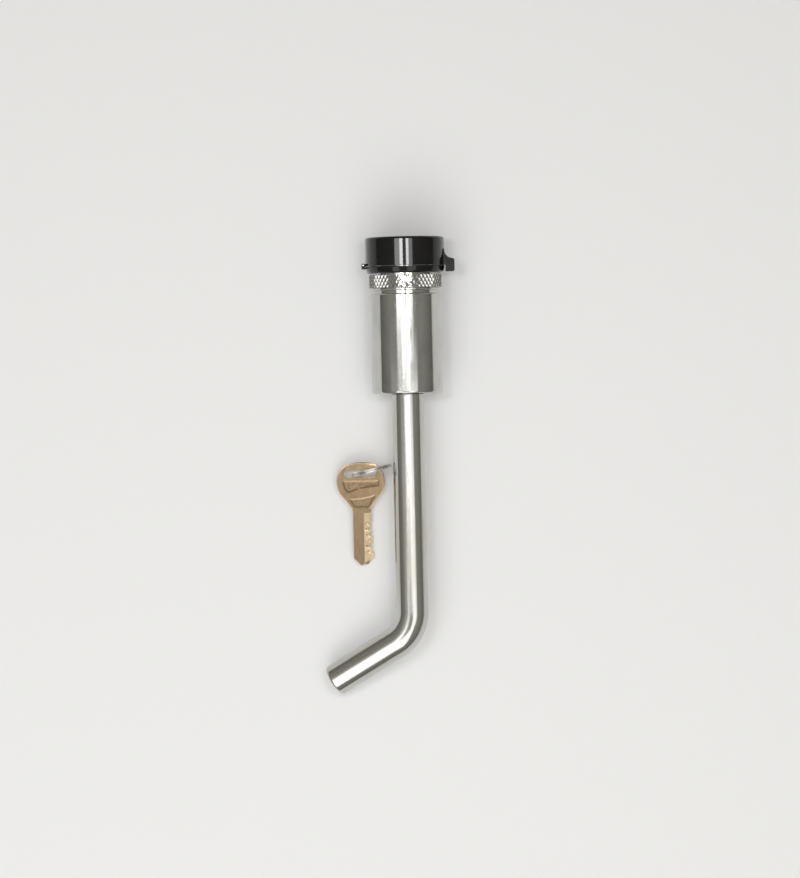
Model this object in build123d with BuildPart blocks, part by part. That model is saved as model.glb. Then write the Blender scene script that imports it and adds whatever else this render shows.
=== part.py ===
from build123d import *
import math
import os

# Hitch pin lock: a bent 16 mm receiver pin, a barrel lock head that slides onto its straight end
# and is held by two balls, a flip cap over the keyway, and two keys on a split ring.
# Millimetres. The shank lies along +Y, +Z is up, and the origin is on the shank's axis at mid grip.
# The whole set lies on a surface: the cap's side, the tip of the pin, the lower key and the ring
# all reach down to the same level.
os.makedirs("parts", exist_ok=True)

# --- driving dimensions -------------------------------------------------------------------------
# Pin
pin_r = 8.0
corner_y = -64.0          # where the shank's axis meets the leg's axis
mouth_y = 54.0            # shoulder of the pin, against which the barrel's mouth seats
bend_angle = 60.0         # turn between the shank and the leg
bend_r = 18.0
leg_length = 47.5
tip_chamfer = 0.8
nose_r = 7.7              # turned nose that enters the head
nose_length = 34.0
nose_chamfer = 1.4
shoulder_chamfer = 0.3

# Balls, cage and cam. Heights in the head are measured from the barrel's mouth.
ball_r = 2.75
ball_height = 24.0
ball_centre_free = 10.55   # distance of a ball's centre from the axis when unlocked
ball_centre_locked = 9.05
groove_clearance = 0.15
cage_r = 10.4
cage_in_r = 7.8
cage_bottom = 9.05
cage_flange_top = 11.0
cage_floor = 34.4
cage_top = 36.0
cup_r = 15.2
cup_bottom = 14.0
cup_floor = 37.0
cup_top = 39.5
cup_recess_r = 5.8
cup_recess_top = 38.2
tail_half = 3.0
cam_washer_bottom = 37.6
cam_washer_r = 4.9
cam_washer_in_r = 1.7
cam_washer_thick = 0.55
screw_bottom = 36.4
screw_head_r = 3.0
screw_shank_r = 1.5
screw_length = 5.2
screw_slot_wide = 0.7
screw_slot_long = 4.6
screw_slot_deep = 0.5
thrust_washer_r = 12.0
thrust_washer_in_r = 6.6
clip_thick = 1.0
clip_reach = 0.4          # how far the clip stands into its groove
clip_wide = 1.8
clip_gap = 7.0
clip_groove = 1.1

# Barrel, collar, seat and cap
barrel_r = 17.8
barrel_top = 49.5
bore_r = 15.4
guide_r = 7.78
guide_length = 9.0
neck_r = 16.7
neck_top = 65.5
seal_wire_r = 1.25
seal_height = 5.5
seal_centre_r = 8.99
collar_bottom = 50.9
collar_top = 59.4
collar_r = 18.0
collar_in_r = 16.75
lip_r = 17.6
lip_top = 52.0
seat_bottom = 59.5
seat_top = 63.0
seat_low_r = 18.5
cap_r = 19.7
cap_bottom = 63.2
cap_top = 77.5
cap_wall = 2.3
cap_roof = 2.0
cap_fillet = 1.2
hinge_x = -20.65
hinge_height = 63.85
knuckle_r = 0.85
hinge_pin_r = 0.42
tab_reach = 24.5          # how far the thumb tab stands out from the axis
tab_half_width = 5.5
tab_bottom = 60.0
tab_top = 67.4

# Lock cylinder
housing_r = 15.3
housing_bottom = 40.6
housing_top = 64.5
plug_r = 6.5
plug_bottom = 40.8
plug_bore_r = 6.55
flange_r = 8.0
flange_bottom = 62.6
keyway_depth = 22.0
keyway_wide = 2.4
keyway_tall = 8.4
wafer_count = 5
wafer_pitch = 2.8
first_wafer = 45.6
wafer_thick = 0.9
wafer_wide = 6.0
broach_reach = 8.0
broach_wide = 6.4
broach_top = 59.5
dowel_r = 1.9
dowel_height = 54.0
dowel_turn = 8.9          # degrees from straight up, towards +X

# Keys and ring
key_thick = 2.0
key_gap = 0.1
key_x = -24.4
key_tip_y = -30.3
key_tilt = 4.0
blade_half = 4.0
bow_half = 11.8
bow_top = 51.0
slot_y = 45.6
slot_long = 16.2
slot_tall = 4.4
bitting = (1.3, 2.1, 0.9, 1.7, 2.3, 1.1)
first_cut = 6.4
spare_fan = 3.0
ring_r = 10.3
ring_in_r = 9.1
ring_wide = 2.0
ring_slant = 13.8
ring_x = -18.6
ring_y = 16.45

# --- derived places -----------------------------------------------------------------------------
beta = math.radians(bend_angle)
leg_drop = (leg_length - tip_chamfer) * math.sin(beta)
flat_part = pin_r * math.sin(beta)
# The leg is rolled about the shank until the rim of its tip is level with the side of the cap:
# leg_drop * s + pin_r * sqrt(1 - (sin(beta) * s)^2) = cap_r, solved for s = sin(roll).
quad_a = leg_drop**2 + flat_part**2
quad_b = cap_r * leg_drop
quad_c = cap_r**2 - pin_r**2
roll_sine = (quad_b - math.sqrt(quad_b**2 - quad_a * quad_c)) / quad_a
roll_cosine = math.sqrt(1 - roll_sine**2)
floor_z = -cap_r


def head_plane(height):
    """Plane across the head's axis, facing away from the shank."""
    return Plane(origin=(0, mouth_y + height, 0), x_dir=(1, 0, 0), z_dir=(0, 1, 0))


# Half section of the head: local X is the radius and local Y the height above the mouth.
section = Plane(origin=(0, mouth_y, 0), x_dir=(1, 0, 0), z_dir=(0, 0, 1))

# --- bent pin -----------------------------------------------------------------------------------
leg_plane = Plane(origin=(0, corner_y, 0), x_dir=(0, 1, 0), z_dir=(-roll_sine, 0, roll_cosine))
with BuildPart() as bent_pin:
    with BuildLine(leg_plane) as route:
        FilletPolyline(
            (mouth_y - corner_y, 0),
            (0, 0),
            (-leg_length * math.cos(beta), leg_length * math.sin(beta)),
            radius=bend_r,
        )
    with BuildSketch(Plane(origin=route.line @ 0, z_dir=route.line % 0)):
        Circle(pin_r)
    sweep()
    rims = bent_pin.edges().filter_by(GeomType.CIRCLE)
    shoulder_rim = rims.sort_by(Axis.Y)[-1]
    tip_rim = rims.sort_by(Axis.Z)[0]
    chamfer(shoulder_rim, shoulder_chamfer)
    chamfer(tip_rim, tip_chamfer)
    with BuildSketch(head_plane(0)):
        Circle(nose_r)
    extrude(amount=nose_length)
    nose_rim = bent_pin.edges().filter_by(GeomType.CIRCLE).sort_by(Axis.Y)[-1]
    chamfer(nose_rim, nose_chamfer)
    # Annular groove that the locked balls drop into.
    with BuildSketch(section):
        with Locations((ball_centre_locked, ball_height)):
            Circle(ball_r + groove_clearance)
    revolve(axis=Axis.Y, mode=Mode.SUBTRACT)
bent_pin.part.label = "bent_pin"
export_step(bent_pin.part, "parts/bent_pin.step")

# --- barrel -------------------------------------------------------------------------------------
seal_groove_r = seal_centre_r + seal_wire_r + 0.1
seal_groove_half = seal_wire_r + 0.1
with BuildPart() as barrel:
    with BuildSketch(section):
        with BuildLine():
            Polyline(
                (guide_r + 0.8, 0),
                (barrel_r - 1.2, 0),
                (barrel_r - 0.35, 0.35),
                (barrel_r, 1.2),
                (barrel_r, barrel_top - 0.5),
                (barrel_r - 0.5, barrel_top),
                (neck_r, barrel_top),
                (neck_r, neck_top - 0.4),
                (neck_r - 0.4, neck_top),
                (bore_r, neck_top),
                (bore_r, guide_length),
                (guide_r, guide_length),
                (guide_r, 0.8),
                close=True,
            )
        make_face()
        with Locations(((guide_r + seal_groove_r) / 2, seal_height)):
            Rectangle(seal_groove_r - guide_r, 2 * seal_groove_half, mode=Mode.SUBTRACT)
        # Groove of the ring that holds the ball cage down.
        with Locations((bore_r, cage_flange_top + 0.1 + clip_thick / 2)):
            Rectangle(2 * clip_reach + 0.2, clip_groove, mode=Mode.SUBTRACT)
    revolve(axis=Axis.Y)
    dowel_plane = Plane(
        origin=(0, mouth_y + dowel_height, 0),
        x_dir=(0, 1, 0),
        z_dir=(math.sin(math.radians(dowel_turn)), 0, math.cos(math.radians(dowel_turn))),
    )
    with BuildSketch(dowel_plane.offset(bore_r - 2)):
        Circle(dowel_r + 0.05)
    extrude(amount=5, mode=Mode.SUBTRACT)
barrel.part.label = "barrel"
export_step(barrel.part, "parts/barrel.step")

# --- shank seal ---------------------------------------------------------------------------------
with BuildPart() as shank_seal:
    with BuildSketch(section):
        with Locations((seal_centre_r, seal_height)):
            Circle(seal_wire_r)
    revolve(axis=Axis.Y)
shank_seal.part.label = "shank_seal"
export_step(shank_seal.part, "parts/shank_seal.step")

# --- ball cage and its retaining ring -----------------------------------------------------------
with BuildPart() as ball_cage:
    with BuildSketch(section):
        with BuildLine():
            Polyline(
                (cage_in_r, cage_bottom),
                (bore_r - 0.1, cage_bottom),
                (bore_r - 0.1, cage_flange_top),
                (cage_r, cage_flange_top),
                (cage_r, cage_top),
                (0, cage_top),
                (0, cage_floor),
                (cage_in_r, cage_floor),
                close=True,
            )
        make_face()
    revolve(axis=Axis.Y)
    with BuildSketch(Plane.YZ.offset(-cage_r - 1)):
        with Locations((mouth_y + ball_height, 0)):
            Circle(ball_r + 0.05)
    extrude(amount=2 * cage_r + 2, mode=Mode.SUBTRACT)
ball_cage.part.label = "ball_cage"
export_step(ball_cage.part, "parts/ball_cage.step")

with BuildPart() as cage_clip:
    with BuildSketch(head_plane(cage_flange_top + 0.1)):
        Circle(bore_r + clip_reach)
        Circle(bore_r + clip_reach - clip_wide, mode=Mode.SUBTRACT)
        with Locations((0, -bore_r)):
            Rectangle(clip_gap, 3 * clip_wide, mode=Mode.SUBTRACT)
    extrude(amount=clip_thick)
cage_clip.part.label = "cage_clip"
export_step(cage_clip.part, "parts/cage_clip.step")

# --- balls --------------------------------------------------------------------------------------
for number, side in ((1, 1), (2, -1)):
    with BuildPart() as ball:
        with Locations((side * ball_centre_free, mouth_y + ball_height, 0)):
            Sphere(ball_r)
    ball.part.label = f"ball_{number}"
    export_step(ball.part, f"parts/ball_{number}.step")

# --- cam cup: two ramps push the balls in as it turns a quarter turn ------------------------------
cam_clear = 0.15
cam_high = ball_centre_free + ball_r + cam_clear
cam_low = ball_centre_locked + ball_r + cam_clear
cam_dwell = 18            # degrees of dwell beyond each end of a ramp


def cam_radius(turn):
    """Inner radius of the cam at an angle, repeating every half turn."""
    turn = (turn + cam_dwell) % 180 - cam_dwell
    if turn <= 0:
        return cam_high
    if turn <= 90:
        return cam_high - (cam_high - cam_low) * turn / 90
    if turn <= 90 + cam_dwell:
        return cam_low
    rise = (turn - 90 - cam_dwell) / (90 - 2 * cam_dwell)
    return cam_low + (cam_high - cam_low) * min(1, rise)


cam_step = 6
cam_points = [
    (
        cam_radius(turn) * math.cos(math.radians(turn)),
        cam_radius(turn) * math.sin(math.radians(turn)),
    )
    for turn in range(0, 360, cam_step)
]
with BuildPart() as cam_cup:
    with BuildSketch(head_plane(cup_bottom)):
        Circle(cup_r)
    extrude(amount=cup_top - cup_bottom)
    with BuildSketch(head_plane(cup_bottom)):
        with BuildLine():
            Polyline(*cam_points, close=True)
        make_face()
    extrude(amount=cup_floor - cup_bottom, mode=Mode.SUBTRACT)
    with BuildSketch(head_plane(cup_floor)):
        Circle(cup_recess_r)
    extrude(amount=cup_recess_top - cup_floor, mode=Mode.SUBTRACT)
    with BuildSketch(head_plane(cup_floor)):
        Rectangle(2 * tail_half + 0.1, 2 * tail_half + 0.1)
    extrude(amount=cup_top - cup_floor, mode=Mode.SUBTRACT)
cam_cup.part.label = "cam_cup"
export_step(cam_cup.part, "parts/cam_cup.step")

with BuildPart() as cam_washer:
    with BuildSketch(head_plane(cam_washer_bottom)):
        Circle(cam_washer_r)
        Circle(cam_washer_in_r, mode=Mode.SUBTRACT)
    extrude(amount=cam_washer_thick)
cam_washer.part.label = "cam_washer"
export_step(cam_washer.part, "parts/cam_washer.step")

with BuildPart() as cam_screw:
    with BuildSketch(head_plane(screw_bottom)):
        Circle(screw_head_r)
    extrude(amount=cam_washer_bottom - screw_bottom)
    chamfer(cam_screw.edges().filter_by(GeomType.CIRCLE).sort_by(Axis.Y)[0], 0.3)
    with BuildSketch(head_plane(screw_bottom)):
        Circle(screw_shank_r)
    extrude(amount=screw_length)
    with BuildSketch(head_plane(screw_bottom)):
        Rectangle(screw_slot_long, screw_slot_wide)
    extrude(amount=screw_slot_deep, mode=Mode.SUBTRACT)
cam_screw.part.label = "cam_screw"
export_step(cam_screw.part, "parts/cam_screw.step")

with BuildPart() as thrust_washer:
    with BuildSketch(head_plane(cup_top + 0.1)):
        Circle(thrust_washer_r)
        Circle(thrust_washer_in_r, mode=Mode.SUBTRACT)
    extrude(amount=housing_bottom - cup_top - 0.2)
thrust_washer.part.label = "thrust_washer"
export_step(thrust_washer.part, "parts/thrust_washer.step")

# --- lock housing -------------------------------------------------------------------------------
with BuildPart() as lock_housing:
    with BuildSketch(head_plane(housing_bottom)):
        Circle(housing_r)
        Circle(plug_bore_r, mode=Mode.SUBTRACT)
    extrude(amount=housing_top - housing_bottom)
    # Slots that the wafers drop into, at the locked and the unlocked quarter.
    with BuildSketch(head_plane(housing_bottom)):
        Rectangle(broach_wide, 2 * broach_reach)
        Rectangle(2 * broach_reach, broach_wide)
    extrude(amount=broach_top - housing_bottom, mode=Mode.SUBTRACT)
    with BuildSketch(head_plane(flange_bottom - 0.05)):
        Circle(flange_r + 0.05)
    extrude(amount=3, mode=Mode.SUBTRACT)
    with BuildSketch(dowel_plane.offset(10.9)):
        Circle(dowel_r + 0.05)
    extrude(amount=6, mode=Mode.SUBTRACT)
    face_rims = lock_housing.edges().filter_by(GeomType.CIRCLE).group_by(Axis.Y)[-1]
    chamfer(face_rims.sort_by(SortBy.RADIUS)[-1], 0.5)
lock_housing.part.label = "lock_housing"
export_step(lock_housing.part, "parts/lock_housing.step")

# --- lock plug ----------------------------------------------------------------------------------
wafer_heights = [first_wafer + wafer_pitch * number for number in range(wafer_count)]
pocket_x = 3.95           # middle of a wafer spring, beside the wafer's window
pocket_wide = 1.7
pocket_inner_x = 2.9
pocket_half = 3.0
with BuildPart() as lock_plug:
    with BuildSketch(head_plane(plug_bottom)):
        Circle(plug_r)
    extrude(amount=flange_bottom - plug_bottom)
    with BuildSketch(head_plane(flange_bottom)):
        Circle(flange_r)
    extrude(amount=housing_top - flange_bottom)
    with BuildSketch(head_plane(cup_recess_top)):
        Rectangle(2 * tail_half, 2 * tail_half)
    extrude(amount=plug_bottom - cup_recess_top)
    with BuildSketch(head_plane(cup_recess_top)):
        Circle(screw_shank_r + 0.05)
    extrude(amount=screw_bottom + screw_length + 0.3 - cup_recess_top, mode=Mode.SUBTRACT)
    with BuildSketch(head_plane(housing_top - keyway_depth)):
        Rectangle(keyway_wide, keyway_tall)
    extrude(amount=keyway_depth + 1, mode=Mode.SUBTRACT)
    for height in wafer_heights:
        with BuildSketch(head_plane(height - 0.55)):
            Rectangle(wafer_wide + 0.1, 2 * plug_r + 1)
        extrude(amount=1.1, mode=Mode.SUBTRACT)
        with BuildSketch(head_plane(height - pocket_wide / 2)):
            with Locations((pocket_inner_x, 0)):
                Rectangle(
                    pocket_x + pocket_wide / 2 - pocket_inner_x,
                    2 * pocket_half,
                    align=(Align.MIN, Align.CENTER),
                )
        extrude(amount=pocket_wide, mode=Mode.SUBTRACT)
lock_plug.part.label = "lock_plug"
export_step(lock_plug.part, "parts/lock_plug.step")

# --- wafers and their springs ---------------------------------------------------------------------
lug_top = -0.4            # height of the lug that a wafer's spring presses on
for number, height in enumerate(wafer_heights, start=1):
    window_top = blade_half - bitting[number - 1] + 0.1
    window_bottom = -blade_half - 0.3
    with BuildPart() as wafer:
        with BuildSketch(head_plane(height - wafer_thick / 2)):
            Circle(plug_r - 0.05)
            Rectangle(wafer_wide, 2 * plug_r, mode=Mode.INTERSECT)
            # The sketch's own Y runs down, towards -Z.
            with Locations((0, -(window_top + window_bottom) / 2)):
                Rectangle(3.0, window_top - window_bottom, mode=Mode.SUBTRACT)
            with Locations((pocket_x - 0.35, -(lug_top - 0.5))):
                Rectangle(1.9, 1.0)
        extrude(amount=wafer_thick)
    wafer.part.label = f"wafer_{number}"
    export_step(wafer.part, f"parts/wafer_{number}.step")

spring_r = 0.55
spring_wire_r = 0.13
spring_length = pocket_half - lug_top - 0.3
with BuildPart() as one_spring:
    with BuildLine() as coil:
        Helix(pitch=0.6, height=spring_length - 0.3, radius=spring_r)
    with BuildSketch(Plane(origin=coil.line @ 0, z_dir=coil.line % 0)):
        Circle(spring_wire_r)
    sweep()
with BuildPart() as wafer_springs:
    for height in wafer_heights:
        with Locations((pocket_x, mouth_y + height, lug_top + 0.25)):
            add(one_spring.part)
wafer_springs.part.label = "wafer_springs"
export_step(wafer_springs.part, "parts/wafer_springs.step")

# --- knurled collar and the dowel through it ------------------------------------------------------
with BuildPart() as knurled_collar:
    with BuildSketch(section):
        with BuildLine():
            Polyline(
                (collar_in_r, collar_bottom),
                (lip_r - 0.6, collar_bottom),
                (lip_r, collar_bottom + 0.6),
                (lip_r, lip_top),
                (collar_r, lip_top + 0.4),
                (collar_r, collar_top - 0.4),
                (collar_r - 0.4, collar_top),
                (collar_in_r, collar_top),
                close=True,
            )
        make_face()
    revolve(axis=Axis.Y)
    with BuildSketch(dowel_plane.offset(bore_r)):
        Circle(dowel_r + 0.05)
    extrude(amount=5, mode=Mode.SUBTRACT)
knurled_collar.part.label = "knurled_collar"
export_step(knurled_collar.part, "parts/knurled_collar.step")

with BuildPart() as head_dowel:
    with BuildSketch(dowel_plane.offset(11.0)):
        Circle(dowel_r)
    extrude(amount=collar_r - 0.2 - 11.0)
    chamfer(head_dowel.edges().filter_by(GeomType.CIRCLE), 0.3)
head_dowel.part.label = "head_dowel"
export_step(head_dowel.part, "parts/head_dowel.step")

# --- cap seat, the lower black ring that carries the hinge ---------------------------------------
seat_knuckle_in = 2.1
seat_knuckle_out = 4.5
web_bottom = 62.0         # arms that join the knuckles to the seat
web_top = 62.95
web_long = 3.3
with BuildPart() as cap_seat:
    with BuildSketch(section):
        with BuildLine():
            Polyline(
                (neck_r + 0.05, seat_bottom),
                (seat_low_r, seat_bottom),
                (cap_r - 0.2, seat_top - 1.0),
                (cap_r - 0.2, seat_top),
                (neck_r + 0.05, seat_top),
                close=True,
            )
        make_face()
    revolve(axis=Axis.Y)
    for side in (1, -1):
        middle = side * (seat_knuckle_in + seat_knuckle_out) / 2
        wide = seat_knuckle_out - seat_knuckle_in
        with BuildSketch(Plane.XY.offset(middle)):
            with Locations((hinge_x, mouth_y + hinge_height)):
                Circle(knuckle_r)
            with Locations((hinge_x - knuckle_r, mouth_y + web_bottom)):
                Rectangle(2 * knuckle_r, hinge_height - web_bottom, align=(Align.MIN, Align.MIN))
                Rectangle(web_long, web_top - web_bottom, align=(Align.MIN, Align.MIN))
        extrude(amount=wide / 2, both=True)
    with BuildSketch(Plane.XY):
        with Locations((hinge_x, mouth_y + hinge_height)):
            Circle(hinge_pin_r + 0.03)
    extrude(amount=2 * seat_knuckle_out, both=True, mode=Mode.SUBTRACT)
cap_seat.part.label = "cap_seat"
export_step(cap_seat.part, "parts/cap_seat.step")

with BuildPart() as cap_hinge_pin:
    with BuildSketch(Plane.XY.offset(-seat_knuckle_out - 0.2)):
        with Locations((hinge_x, mouth_y + hinge_height)):
            Circle(hinge_pin_r)
    extrude(amount=2 * seat_knuckle_out + 0.4)
cap_hinge_pin.part.label = "cap_hinge_pin"
export_step(cap_hinge_pin.part, "parts/cap_hinge_pin.step")

# --- flip cap -----------------------------------------------------------------------------------
tab_clear_x = cap_r + 0.3
cap_web_long = 2.0        # arm that joins the middle knuckle to the cap
with BuildPart() as flip_cap:
    with BuildSketch(head_plane(cap_bottom)):
        Circle(cap_r)
    extrude(amount=cap_top - cap_bottom)
    fillet(flip_cap.edges().filter_by(GeomType.CIRCLE).sort_by(Axis.Y)[-1], cap_fillet)
    # Thumb tab: a hook that hangs over the side of the seat.
    with BuildSketch(Plane.XY):
        with BuildLine():
            Polyline(
                (cap_r - 1.5, mouth_y + tab_top + 1.6),
                (cap_r + 0.5, mouth_y + tab_top + 0.2),
                (cap_r + 2.0, mouth_y + tab_top - 0.6),
                (tab_reach - 0.8, mouth_y + tab_top - 1.0),
                (tab_reach, mouth_y + tab_top - 2.0),
                (tab_reach, mouth_y + tab_bottom + 1.0),
                (tab_reach - 0.8, mouth_y + tab_bottom),
                (tab_clear_x, mouth_y + tab_bottom),
                (tab_clear_x, mouth_y + cap_bottom),
                (cap_r - 1.5, mouth_y + cap_bottom),
                close=True,
            )
        make_face()
    extrude(amount=tab_half_width, both=True)
    tab_edges = flip_cap.edges().filter_by(Axis.Y).group_by(Axis.X)[-1]
    fillet(tab_edges, 2.0)
    with BuildSketch(head_plane(cap_bottom)):
        Circle(cap_r - cap_wall)
    extrude(amount=cap_top - cap_bottom - cap_roof, mode=Mode.SUBTRACT)
    # Middle knuckle of the hinge.
    with BuildSketch(Plane.XY):
        with Locations((hinge_x, mouth_y + hinge_height)):
            Circle(knuckle_r)
        with Locations((hinge_x, mouth_y + hinge_height - 0.5)):
            Rectangle(cap_web_long, 1.3, align=(Align.MIN, Align.MIN))
    extrude(amount=seat_knuckle_in - 0.15, both=True)
    with BuildSketch(Plane.XY):
        with Locations((hinge_x, mouth_y + hinge_height)):
            Circle(hinge_pin_r + 0.05)
    extrude(amount=3, both=True, mode=Mode.SUBTRACT)
flip_cap.part.label = "flip_cap"
export_step(flip_cap.part, "parts/flip_cap.step")

# --- keys ---------------------------------------------------------------------------------------
# A key's own frame: origin under its tip, X across the blade, Y towards the bow, Z up.
key_length_y = 27.3
tilt = math.radians(key_tilt)
key_frame = Plane(
    origin=(key_x, key_tip_y, floor_z),
    x_dir=(1, 0, 0),
    z_dir=(0, -math.sin(tilt), math.cos(tilt)),
)
with BuildPart() as blank:
    with BuildSketch(Plane.XY):
        with BuildLine():
            Line((-0.6, 0), (-blade_half, 3.4))
            Line((-blade_half, 3.4), (-blade_half, key_length_y))
            Line((-blade_half, key_length_y), (-10.2, 35.4))
            ThreePointArc((-10.2, 35.4), (-bow_half, 42.4), (-8.2, 49.4))
            ThreePointArc((-8.2, 49.4), (0, bow_top), (8.2, 49.4))
            ThreePointArc((8.2, 49.4), (bow_half, 42.4), (10.2, 35.4))
            Line((10.2, 35.4), (blade_half, key_length_y))
            Line((blade_half, key_length_y), (blade_half, 3.0))
            Line((blade_half, 3.0), (0.6, 0))
            Line((0.6, 0), (-0.6, 0))
        make_face()
        with Locations((0, slot_y)):
            SlotOverall(slot_long, slot_tall, mode=Mode.SUBTRACT)
        # Bitting: flat-bottomed V cuts along the +X edge.
        for number, depth in enumerate(bitting):
            with BuildLine():
                middle = first_cut + wafer_pitch * number
                Polyline(
                    (blade_half + 0.3, middle - 1.35),
                    (blade_half - depth, middle - 0.35),
                    (blade_half - depth, middle + 0.35),
                    (blade_half + 0.3, middle + 1.35),
                    close=True,
                )
            make_face(mode=Mode.SUBTRACT)
    extrude(amount=key_thick)
    # Milled ledge along the bitting side, on the upper face, and a groove on the lower face.
    with BuildSketch(Plane.XY.offset(key_thick - 0.6)):
        with Locations((1.3, -1)):
            Rectangle(4, 26.4, align=(Align.MIN, Align.MIN))
    extrude(amount=1, mode=Mode.SUBTRACT)
    with BuildSketch(Plane.XY):
        with Locations((-2.4, -1)):
            Rectangle(1.6, 26.4, align=(Align.MIN, Align.MIN))
    extrude(amount=0.5, mode=Mode.SUBTRACT)
    # Sunk panel under the slot, and the sunk triangle above the blade.
    with BuildSketch(Plane.XY.offset(key_thick - 0.3)):
        with BuildLine():
            Polyline(
                (-8.6, 42.4),
                (-7.6, 37.0),
                (7.6, 37.0),
                (8.6, 42.4),
                close=True,
            )
        make_face()
    extrude(amount=1, mode=Mode.SUBTRACT)

pivot_x = ring_x - 7.6 - key_x
pivot_on_key = (pivot_x, slot_y - 0.6)
upper_place = key_frame.offset(key_thick + key_gap)
lower_place = key_frame

with BuildPart() as key:
    add(upper_place.location * blank.part)
key.part.label = "key"
export_step(key.part, "parts/key.step")

fanned = Location((pivot_on_key[0], pivot_on_key[1], 0)) * Location((0, 0, 0), (0, 0, spare_fan))
fanned = fanned * Location((-pivot_on_key[0], -pivot_on_key[1], 0))
with BuildPart() as spare_key:
    add(lower_place.location * fanned * blank.part)
spare_key.part.label = "spare_key"
export_step(spare_key.part, "parts/spare_key.step")

# --- split ring ---------------------------------------------------------------------------------
slant = math.radians(ring_slant)
ring_centre = (ring_x, ring_y, floor_z + ring_r)
ring_axis = Axis(ring_centre, (-math.sin(slant), math.cos(slant), 0))
ring_section = Plane(
    origin=ring_centre,
    x_dir=(math.cos(slant), math.sin(slant), 0),
    z_dir=(0, 0, 1),
)
with BuildPart() as split_ring:
    with BuildSketch(ring_section):
        with BuildLine():
            Polyline(
                (ring_in_r, -ring_wide / 2),
                (ring_r, -ring_wide / 2),
                (ring_r, -0.1),
                (ring_r - 0.35, 0),
                (ring_r, 0.1),
                (ring_r, ring_wide / 2),
                (ring_in_r, ring_wide / 2),
                (ring_in_r, 0.1),
                (ring_in_r + 0.35, 0),
                (ring_in_r, -0.1),
                close=True,
            )
        make_face()
    revolve(axis=ring_axis)
split_ring.part.label = "split_ring"
export_step(split_ring.part, "parts/split_ring.step")
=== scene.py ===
"""Hitch pin lock: a bent chrome receiver pin, its barrel lock head with a flip cap, and two keys on a ring.

Every size is in metres. The shank lies along Y, Z is up, and the origin is on the shank's axis.
"""

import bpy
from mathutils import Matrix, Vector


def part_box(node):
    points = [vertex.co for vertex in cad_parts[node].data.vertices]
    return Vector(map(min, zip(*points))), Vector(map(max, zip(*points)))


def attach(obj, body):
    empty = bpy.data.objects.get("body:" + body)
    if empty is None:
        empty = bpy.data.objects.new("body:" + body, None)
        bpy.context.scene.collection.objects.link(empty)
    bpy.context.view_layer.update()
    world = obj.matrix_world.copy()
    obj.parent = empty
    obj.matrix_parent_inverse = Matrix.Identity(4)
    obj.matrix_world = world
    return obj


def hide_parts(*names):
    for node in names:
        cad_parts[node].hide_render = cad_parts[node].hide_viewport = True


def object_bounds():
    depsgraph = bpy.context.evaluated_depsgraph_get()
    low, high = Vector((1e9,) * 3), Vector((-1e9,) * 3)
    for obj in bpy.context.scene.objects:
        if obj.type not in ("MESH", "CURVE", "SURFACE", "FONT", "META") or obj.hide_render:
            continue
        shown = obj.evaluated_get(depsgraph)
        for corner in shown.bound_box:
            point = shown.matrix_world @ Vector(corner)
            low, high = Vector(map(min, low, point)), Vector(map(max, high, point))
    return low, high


bl_info = {
    "name": "Hitch Pin Lock",
    "version": (1, 0, 0),
    "blender": (4, 5, 0),
    "location": "3D View > Sidebar > Pin Lock",
    "description": "Builds a bent receiver pin with its barrel lock, flip cap, keys and key ring",
    "category": "Add Mesh",
}

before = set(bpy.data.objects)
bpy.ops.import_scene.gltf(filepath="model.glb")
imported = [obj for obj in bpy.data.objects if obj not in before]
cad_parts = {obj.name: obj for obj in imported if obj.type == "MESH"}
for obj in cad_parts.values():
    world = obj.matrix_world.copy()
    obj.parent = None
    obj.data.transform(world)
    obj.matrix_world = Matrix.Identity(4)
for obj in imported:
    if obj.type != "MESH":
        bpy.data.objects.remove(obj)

import math

import bmesh
import bpy
from bpy.props import FloatProperty, FloatVectorProperty, IntProperty, PointerProperty
from mathutils import Matrix, Vector

CAD_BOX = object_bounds()
MM = 0.001
TURN = math.tau
TINY = 1e-7

BARREL_LOW, BARREL_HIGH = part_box("barrel")
COLLAR_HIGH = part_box("knurled_collar")[1]
CAP_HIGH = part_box("flip_cap")[1]
PIN_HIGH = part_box("bent_pin")[1]
MOUTH = BARREL_LOW.y
FLOOR = CAD_BOX[0][2]


# --- settings -----------------------------------------------------------------------------------


def length(name, description, default):
    """A length setting."""
    return FloatProperty(name=name, description=description, default=default, unit="LENGTH", precision=5)


def angle(name, description, degrees):
    """An angle setting, given in degrees."""
    return FloatProperty(name=name, description=description, default=math.radians(degrees), unit="ROTATION")


def colour(name, description, default):
    """A colour setting."""
    return FloatVectorProperty(
        name=name, description=description, default=default, subtype="COLOR", size=3, min=0, max=1
    )


class PinSizes(bpy.types.PropertyGroup):
    """Sizes of the bent pin."""

    shank_radius: length("Shank radius", "Radius of the bar", 8.0 * MM)
    nose_radius: length("Nose radius", "Radius of the turned end that enters the head", 7.7 * MM)
    nose_chamfer: length("Nose chamfer", "Lead-in at the end of the nose", 1.4 * MM)
    corner: length("Corner", "Where the shank's axis meets the leg's axis", -64.0 * MM)
    bend_radius: length("Bend radius", "Radius of the bend's centre line", 18.0 * MM)
    bend_angle: angle("Bend angle", "How far the leg turns from the shank", 60.0)
    leg_length: length("Leg length", "From the corner to the tip", 47.5 * MM)
    tip_bevel: length("Tip bevel", "Bevel that the rounding of the leg's rim stays inside", 0.8 * MM)
    groove_height: length("Groove height", "Middle of the ball groove above the mouth", 24.0 * MM)
    groove_radius: length("Groove radius", "Radius of the ball groove's section", 2.9 * MM)
    groove_centre: length("Groove centre", "Distance of the groove's section from the axis", 9.05 * MM)


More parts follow.
